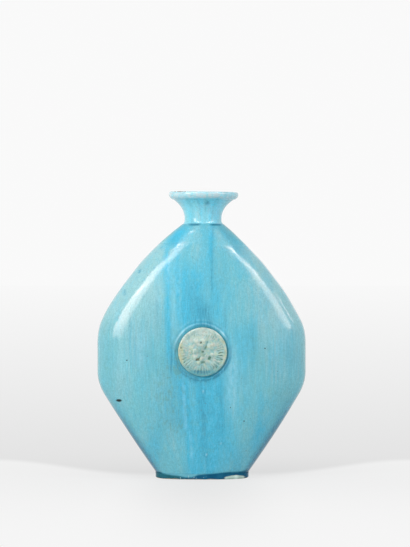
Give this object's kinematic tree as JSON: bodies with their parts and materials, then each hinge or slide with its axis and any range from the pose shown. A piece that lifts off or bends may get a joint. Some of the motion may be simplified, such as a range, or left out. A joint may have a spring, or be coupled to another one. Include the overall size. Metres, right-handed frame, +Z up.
{
  "type": "octagonal vase",
  "caption": "Flattened eight-sided glazed vase with a short flared neck, a low oval foot and a round blossom medallion on each broad face.",
  "frame": {"origin": "centre of the foot ring's underside, on the surface the vase stands on", "axes": "+Z up through the neck, -Y out of the front face with the medallion in the picture, +X to the right seen from the front"},
  "size_m": [0.1816, 0.0742, 0.25],
  "materials": {
    "turquoise_glaze": "glossy turquoise glaze with runs, fine crazing and small pits",
    "foot_glaze": "thick dark blue-green glaze pooled at the foot",
    "medallion_glaze": "thin pale glaze over cream clay, darker in the hollows",
    "bare_clay": "unglazed, matt buff earthenware"
  },
  "bodies": {
    "root": {"front_shell": "turquoise_glaze", "back_shell": "turquoise_glaze", "neck_collar": "turquoise_glaze", "foot_ring": "foot_glaze", "base_slab": "bare_clay", "front_medallion": "medallion_glaze", "back_medallion": "medallion_glaze", "left_seam_coil": "bare_clay", "right_seam_coil": "bare_clay"}
  },
  "joints": []
}
